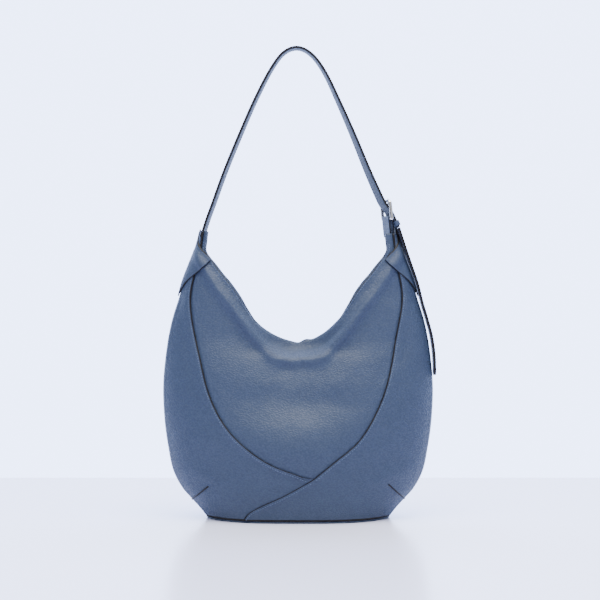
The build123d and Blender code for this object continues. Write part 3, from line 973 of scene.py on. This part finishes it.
def strap():
    """The arched strap: two leather layers with painted edges, adjusting holes drawn as discs of
    painted shade, and stitching.
    """
    # The third finish paints shade on the strap's inner face
    mats = [MATS["strap"], MATS["edge"], MATS["under"]]
    frames = [strap_frame(STRAP_PATH, i / 220) for i in range(221)]
    main = sweep("shoulder_strap", frames, SECTION, mats)
    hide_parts("strap_outer_layer", "strap_inner_layer")
    strap_blend(main)
    bend(strip_stitches("strap_stitches", STRAP_PATH, "strap", 0.0, 0.83), strap_blend)
    # Each adjusting hole is a flat disc with a raised ring, both in edge paint: the disc is painted
    # shade over the hole's dark inside, the ring its painted edge
    for index, share in enumerate((12.73 / 18, 13.74 / 18)):
        origin, across, inward, along = strap_frame(STRAP_PATH, share)
        for face, h, sign in (("out", -0.2, -1), ("in", 3.38, 1)):
            ring = []
            for radius, lift in ((0.0, -0.05), (1.35, -0.05), (1.75, 0.1), (2.1, -0.08)):
                ring.append([origin + inward * (h + sign * lift) + across * (math.cos(t) * radius)
                             + along * (math.sin(t) * radius)
                             for t in [math.tau * k / 20 for k in range(21)]])
            hole_rim_and_shade = grid(f"strap_hole_{index}_{face}", ring, [MATS["edge"]], flip=sign < 0)
            settle(hole_rim_and_shade, "strap", "edge_leather")
    # The tail's inner face carries the near-black painted shadow
    tail = sweep("strap_tail", tail_frames(), SECTION, [*mats[:2], MATS["tail_under"]])
    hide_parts("tail_outer_layer", "tail_inner_layer")
    tail_blend(tail)
    bend(strip_stitches("tail_stitches", TAIL_PATH, "tail", 0.02, 0.93), tail_blend)


def tail_frames():
    """Frames of the tail, its end rounded to a blunt point."""
    frames = []
    for i in range(101):
        share = i / 100
        origin, across, inward, along = strap_frame(TAIL_PATH, share)
        left = (1 - share) * 196.0
        narrow = math.sqrt(max(1 - (1 - min(left / 9.0, 1.0)) ** 2, 0.02))
        frames.append((origin, across * narrow, inward, along))
    return frames


def tail_blend(obj):
    """Bakes a tail piece's placement into its mesh."""
    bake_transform(obj)


# ---------------------------------------------------------------- buckle, chape and keeper
def from_buckle(x, y, z):
    """A place given from the buckle's pin, outward, along the pin and up, in mm."""
    c, s = math.cos(BUCKLE_TURN), math.sin(BUCKLE_TURN)
    return Vector((PIN_AT[0] + x * c - y * s, x * s + y * c, PIN_AT[1] + z))


def direction(x, y, z):
    """A direction given in the buckle's own axes."""
    c, s = math.cos(BUCKLE_TURN), math.sin(BUCKLE_TURN)
    return Vector((x * c - y * s, x * s + y * c, z))


def chape_blend(obj):
    """Bakes a chape piece's placement into its mesh."""
    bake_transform(obj)


def chape():
    """Folded leather loop round the buckle's pin, its ends sewn into the right neck."""
    middle = [(2.35, -24.0 + 4 * k) for k in range(6)]
    middle += [(2.35 * math.cos(a),
                2.35 * math.sin(a)) for a in [math.pi * k / 12 for k in range(13)]]
    middle += [(-2.35, -4.0 - 4 * k) for k in range(6)]
    c, s = math.cos(CHAPE_LEAN), math.sin(CHAPE_LEAN)
    turned = [(x * c + z * s, -x * s + z * c) for x, z in middle]
    frames = []
    for i, (x, z) in enumerate(turned):
        a, b = turned[max(i - 1, 0)], turned[min(i + 1, len(turned) - 1)]
        along = direction(b[0] - a[0], 0, b[1] - a[1]).normalized()
        across = direction(0, 1, 0)
        inward = along.cross(across)
        if inward.dot(direction(-x, 0, -z if z > 0 else 0)) < 0:
            inward = -inward
        frames.append((from_buckle(x, 0, z) - inward * 0.8, across, inward, along))
    section = [(w, h / 3.3 * 1.5, m) for w, h, m in SECTION]
    obj = sweep("chape_loop", frames, section, [MATS["strap"], MATS["edge"]])
    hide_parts("chape")
    chape_blend(obj)
    for side in (-7.6, 7.6):
        points = []
        for k in range(21):
            origin = frames[0][0].lerp(frames[5][0], k / 20)
            _, across, inward, _ = frames[0]
            points.append((origin + across * side - inward * 0.05, -inward))
        row = stitch_row(f"chape_stitches_{'a' if side < 0 else 'b'}", points, "strap")
        bend([row], chape_blend)


def keeper():
    """Leather ring that holds the strap's end beside the chape."""
    origin, across, inward, along = strap_frame(STRAP_PATH, 17.33 / 18)
    half_w, half_t, round_r = STRAP_WIDE / 2 + 0.45, STRAP_THICK / 2 + 0.45, 0.9
    centre = origin + inward * (STRAP_THICK / 2)
    frames = []
    for cw, ct, first in ((1, 1, 0), (-1, 1, 1), (-1, -1, 2), (1, -1, 3)):
        for k in range(7):
            a = math.pi / 2 * (first + k / 6)
            w = cw * (half_w - round_r) + math.cos(a) * round_r
            t = ct * (half_t - round_r) + math.sin(a) * round_r
            out = across * math.cos(a) + inward * math.sin(a)
            tangent = inward * math.cos(a) - across * math.sin(a)
            frames.append((centre + across * w + inward * t, along, out, tangent))
    section = [(-3.5, 0.3, 1), (-3.3, 0.0, 1), (-2.8, 0.0, 0), (2.8, 0.0, 0), (3.3, 0.0, 1), (3.5,
            0.3, 1),
               (3.5, 1.0, 1), (3.2, 1.3, 1), (2.7, 1.4, 0), (-2.7, 1.4, 0), (-3.2, 1.3, 1), (-3.5,
               1.0, 1)]
    obj = sweep("keeper_ring", frames, section, [MATS["strap"], MATS["edge"]], closed=True)
    settle(obj, "strap", "edge_leather", "keeper_loop")


def buckle():
    """Polished buckle: a frame of rounded flat arms, with its pin and prong finished."""
    path = [(-13.0, s, 0.0) for s in (-2.6, -2.3, -1.6, 0.0, 6.0, 12.0, 17.0)]
    path += [(-9.0 - 4.0 * math.cos(a), 17.8 + 4.0 * math.sin(a), a / (math.pi / 2))
             for a in [math.pi / 2 * k / 8 for k in range(1, 9)]]
    path += [(0.0, 21.8, 1.0)]
    path += [(-y, s, share) for y, s, share in path[-2::-1]]
    verts = []
    ring = 20
    for i, (y, s, share) in enumerate(path):
        before, after = path[max(i - 1, 0)], path[min(i + 1, len(path) - 1)]
        ty, ts = after[0] - before[0], after[1] - before[1]
        size = math.hypot(ty, ts)
        ny, ns = ts / size, -ty / size
        from_end = min(i, len(path) - 1 - i)
        round_end = (0.35, 0.75, 0.95)[from_end] if from_end < 3 else 1.0
        half_in = (1.15 + 0.75 * share) * round_end
        half_out = (2.25 - 0.35 * share) * round_end
        for k in range(ring):
            a = math.tau * k / ring
            c, t = math.cos(a), math.sin(a)
            c, t = math.copysign(abs(c) ** 0.75, c), math.copysign(abs(t) ** 0.75, t)
            w, h = c * half_in, t * half_out
            lift = s + ns * w
            verts.append(from_buckle(h + BAR_LEAN * lift, y + ny * w, lift))
    faces = tube_faces(0, len(path), ring, turned=True)
    obj = new_mesh("buckle_nickel_frame", verts, faces, [MATS["nickel"]])
    settle(obj, "strap", "nickel", "buckle_frame")
    for name in ("buckle_pin", "buckle_prong"):
        coat(name, "nickel")


# ---------------------------------------------------------------- inside
def pouch():
    """Hanging zip pocket: soft and flat, thinner towards its edges."""
    low, high = [Vector(c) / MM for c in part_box("zip_pocket")]
    rows, outline = [], []
    for side in (0, 1):
        for i in range(61):
            x = low.x + (high.x - low.x) * i / 60
            outline.append((x if side == 0 else high.x + low.x - x, side))
    for j in range(41):
        z = low.z + (high.z - low.z) * j / 40
        row = []
        for x, side in outline:
            edge = min(x - low.x, high.x - x, z - low.z, high.z - z)
            swell = 0.35 + 0.65 * smoothstep(0, 9, edge)
            mid = (low.y + high.y) / 2
            half = (high.y - low.y) / 2 * swell
            half += 0.25 * noise.noise(Vector((x / 18, z / 18, side * 4.0))) * smoothstep(0, 9,
                    edge)
            row.append(Vector((x, mid - half if side == 0 else mid + half, z)))
        row.append(row[0].copy())
        rows.append(row)
    obj = grid("zip_pouch", rows, [MATS["lining"]])
    finish_with(obj, "WELD", merge_threshold=0.00001)
    only(obj)
    bpy.ops.object.mode_set(mode="EDIT")
    bpy.ops.mesh.select_mode(type="EDGE")
    bpy.ops.mesh.select_all(action="DESELECT")
    bpy.ops.mesh.select_non_manifold()
    bpy.ops.mesh.fill()
    bpy.ops.mesh.select_all(action="SELECT")
    bpy.ops.mesh.normals_make_consistent(inside=False)
    bpy.ops.object.mode_set(mode="OBJECT")
    settle(obj, "bag", "lining_cloth", "zip_pocket")


def slip_pocket():
    """Open-topped patch pocket sewn to the front lining."""
    low, high = [Vector(c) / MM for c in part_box("slip_pocket")]
    rows = []
    for j in range(31):
        z = low.z + (high.z - low.z) * j / 30
        row = []
        for i in range(41):
            x = low.x + (high.x - low.x) * i / 40
            here = depth(x, z) - 4.6
            here -= 1.6 * smoothstep(0.5, 1.0, j / 30) * (1 - (x / high.x) ** 2)
            row.append(Vector((x, -here, z)))
        rows.append(row)
    obj = grid("slip_pocket_cloth", rows, [MATS["lining"]], flip=True)
    thicken(obj, 0.7, rim=0)
    settle(obj, "bag", "lining_cloth", "slip_pocket")


def zip_teeth():
    """Two interlocked rows of metal teeth."""
    low, high = [Vector(c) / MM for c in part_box("zip_teeth")]
    verts, faces = [], []
    pitch, z_mid = 1.5, (low.z + high.z) / 2
    for k in range(int((high.x - low.x) / pitch)):
        x = low.x + (k + 0.5) * pitch
        up = 1 if k % 2 else -1
        shift = up * 0.45
        first = len(verts)
        for dx in (-0.5, 0.5):
            for dz, y in ((-1.3, low.y + 0.25), (-0.9, low.y), (0.9, low.y), (1.3, low.y + 0.25),
                          (1.3, high.y), (-1.3, high.y)):
                verts.append((x + dx, y, z_mid + shift + dz))
        faces += tube_faces(first, 2, 6)
    obj = new_mesh("zip_chain", verts, faces, [MATS["zip"]], smooth=False)
    settle(obj, "bag", "zip_metal", "zip_teeth")


CAD_FINISH = {
    "nickel": ("snap_socket", "snap_stud"),
    "zip": ("zip_left_stop", "zip_right_stop", "zip_slider", "zip_pull"),
    "tape": ("zip_upper_tape", "zip_lower_tape"),
    "lining": ("lining_floor",),
    "board": ("base_board",),
}


def finish_nodes():
    """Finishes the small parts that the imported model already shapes."""
    for finish, names in CAD_FINISH.items():
        for name in names:
            coat(name, finish)


# ---------------------------------------------------------------- stage
def area_light(name, place, target, size, power, colour):
    """A softbox that faces its target."""
    bpy.ops.object.light_add(type="AREA", location=place)
    lamp = bpy.context.object
    lamp.name = name
    lamp.data.shape = "RECTANGLE"
    lamp.data.size, lamp.data.size_y = size
    lamp.data.energy = power
    lamp.data.color = linear(colour)[:3]
    lamp.rotation_euler = (Vector(target) - Vector(place)).to_track_quat("-Z", "Y").to_euler()


def stage(props):
    """Pale table, wall behind it, soft lights and the camera."""
    bpy.ops.object.select_all(action="DESELECT")
    for name, size, place, turn, mat in (
        ("Table", (6.0, 3.4), (0, -1.3, 0), 0, plain_stage("Table_Paint", props.table, 0.22, 0.0)),
        ("Wall", (16.0, 16.0), (0, 3.2, -0.5), 90, plain_stage("Wall_Paint", props.wall, 0.9,
        props.wall_glow)),
    ):
        bpy.ops.mesh.primitive_grid_add(x_subdivisions=4, y_subdivisions=4, size=1.0)
        plane = bpy.context.object
        plane.name = name
        plane.data.transform(Matrix.Diagonal((*size, 1, 1)))
        plane.data.transform(Matrix.Rotation(math.radians(turn), 4, "X"))
        plane.data.transform(Matrix.Translation(place))
        plane.data.materials.append(mat)
    area_light("Top_Softbox", (0.1, -0.55, 1.9), (0, -0.1, 0.1), (2.4, 1.5), props.top_power,
               "#ffffff")
    area_light("Front_Fill", (-0.9, -2.6, 1.1), (0, 0, 0.2), (2.0, 1.6), props.fill_power,
               "#f6f8ff")
    area_light("Right_Fill", (1.9, -1.5, 0.9), (0, 0, 0.2), (1.2, 1.6), props.fill_power * 0.55,
               "#f6f8ff")
    world = bpy.context.scene.world or bpy.data.worlds.new("Studio")
    bpy.context.scene.world = world
    world.use_nodes = True
    nodes = world.node_tree.nodes
    back = nodes.get("Background") or nodes.new("ShaderNodeBackground")
    back.inputs["Color"].default_value = linear("#eef1ff")
    back.inputs["Strength"].default_value = props.world_power
    bpy.ops.object.camera_add(location=(0.0025, -CAMERA_AWAY, 0.278), rotation=(math.pi / 2, 0, 0))
    camera = bpy.context.object
    camera.data.lens = SENSOR * CAMERA_AWAY / CAMERA_SEES
    camera.data.sensor_width = SENSOR
    bpy.context.scene.camera = camera


# ---------------------------------------------------------------- add-on
class HoboBagProps(bpy.types.PropertyGroup):
    """Colours and lights of the bag and its stage."""

    leather: bpy.props.StringProperty(name="Leather", description="Body leather, sRGB hex",
                                      default="#323e53")
    # Darker colour of the grain's valleys, which paints shade into them
    leather_valley_shade: bpy.props.StringProperty(name="Valleys", description="Grain valleys, sRGB hex",
                                           default="#283347")
    strap: bpy.props.StringProperty(name="Strap", description="Strap leather, sRGB hex",
                                    default="#333f54")
    facing: bpy.props.StringProperty(name="Facing", description="Mouth facing, sRGB hex",
                                     default="#354156")
    table: bpy.props.StringProperty(name="Table", description="Table top, sRGB hex",
                                    default="#e7e8fc")
    wall: bpy.props.StringProperty(name="Wall", description="Wall behind, sRGB hex",
                                   default="#c2d3ff")
    top_power: bpy.props.FloatProperty(name="Top light", description="Softbox above", default=124.0,
                                       subtype="POWER")
    fill_power: bpy.props.FloatProperty(name="Fill light", description="Front fill", default=9.0,
                                        subtype="POWER")
    wall_glow: bpy.props.FloatProperty(name="Wall glow", description="Light from the backdrop",
                                       default=6.6)
    world_power: bpy.props.FloatProperty(name="Ambient", description="Ambient light", default=0.3)


class HOBO_OT_materials(bpy.types.Operator):
    """Makes the leathers, cloth, thread and metals"""

    bl_idname = "hobo.materials"
    bl_label = "Materials"

    def execute(self, context):
        make_materials(context.scene.hobo_bag)
        return {"FINISHED"}


class HOBO_OT_stage(bpy.types.Operator):
    """Adds the table, wall, lights and camera"""

    bl_idname = "hobo.stage"
    bl_label = "Stage"

    def execute(self, context):
        stage(context.scene.hobo_bag)
        return {"FINISHED"}


class HOBO_OT_panels(bpy.types.Operator):
    """Adds the leather panels and their stitching"""

    bl_idname = "hobo.panels"
    bl_label = "Body panels"

    def execute(self, context):
        for back in (False, True):
            centre_panel(back)
            for sign in (-1, 1):
                side_panel(sign, back)
            body_stitches(back)
        return {"FINISHED"}


class HOBO_OT_mouth(bpy.types.Operator):
    """Adds what lines the mouth and the inside"""

    bl_idname = "hobo.mouth"
    bl_label = "Facing and lining"

    def execute(self, context):
        for back in (False, True):
            facing(back)
            lining(back)
        return {"FINISHED"}


class HOBO_OT_base(bpy.types.Operator):
    """Adds the base leather"""

    bl_idname = "hobo.base"
    bl_label = "Base"

    def execute(self, context):
        base()
        return {"FINISHED"}


class HOBO_OT_patches(bpy.types.Operator):
    """Adds the patches that hold the strap"""

    bl_idname = "hobo.patches"
    bl_label = "Corner patches"

    def execute(self, context):
        corner_patch(-1)
        corner_patch(1)
        return {"FINISHED"}


class HOBO_OT_strap(bpy.types.Operator):
    """Adds the strap and its tail"""

    bl_idname = "hobo.strap"
    bl_label = "Strap"

    def execute(self, context):
        strap()
        return {"FINISHED"}


class HOBO_OT_hardware(bpy.types.Operator):
    """Adds the chape and keeper, and finishes the buckle"""

    bl_idname = "hobo.hardware"
    bl_label = "Buckle and keeper"

    def execute(self, context):
        buckle()
        chape()
        keeper()
        return {"FINISHED"}


class HOBO_OT_inside(bpy.types.Operator):
    """Adds the pockets and the zip"""

    bl_idname = "hobo.inside"
    bl_label = "Pockets"

    def execute(self, context):
        pouch()
        slip_pocket()
        zip_teeth()
        finish_nodes()
        return {"FINISHED"}


STEPS = (
    HOBO_OT_materials,
    HOBO_OT_stage,
    HOBO_OT_panels,
    HOBO_OT_mouth,
    HOBO_OT_base,
    HOBO_OT_patches,
    HOBO_OT_strap,
    HOBO_OT_hardware,
    HOBO_OT_inside,
)


class HOBO_PT_panel(bpy.types.Panel):
    """Lists the bag's steps in the sidebar."""

    bl_label = "Hobo Bag"
    bl_space_type = "VIEW_3D"
    bl_region_type = "UI"
    bl_category = "Hobo Bag"

    def draw(self, context):
        for step in STEPS:
            self.layout.operator(step.bl_idname)
        for name in HoboBagProps.__annotations__:
            self.layout.prop(context.scene.hobo_bag, name)


CLASSES = [HoboBagProps, *STEPS, HOBO_PT_panel]


def register():
    """Registers the classes and the scene's own settings."""
    for cls in CLASSES:
        bpy.utils.register_class(cls)
    bpy.types.Scene.hobo_bag = bpy.props.PointerProperty(type=HoboBagProps)


def unregister():
    """Removes what register adds."""
    del bpy.types.Scene.hobo_bag
    for cls in reversed(CLASSES):
        bpy.utils.unregister_class(cls)


def main():
    """Builds every step in order."""
    register()
    for step in STEPS:
        name = step.bl_idname.split(".")[1]
        if getattr(bpy.ops.hobo, name)() != {"FINISHED"}:
            raise RuntimeError(f"The step {name} did not finish")
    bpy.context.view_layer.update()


if __name__ == "__main__":
    main()
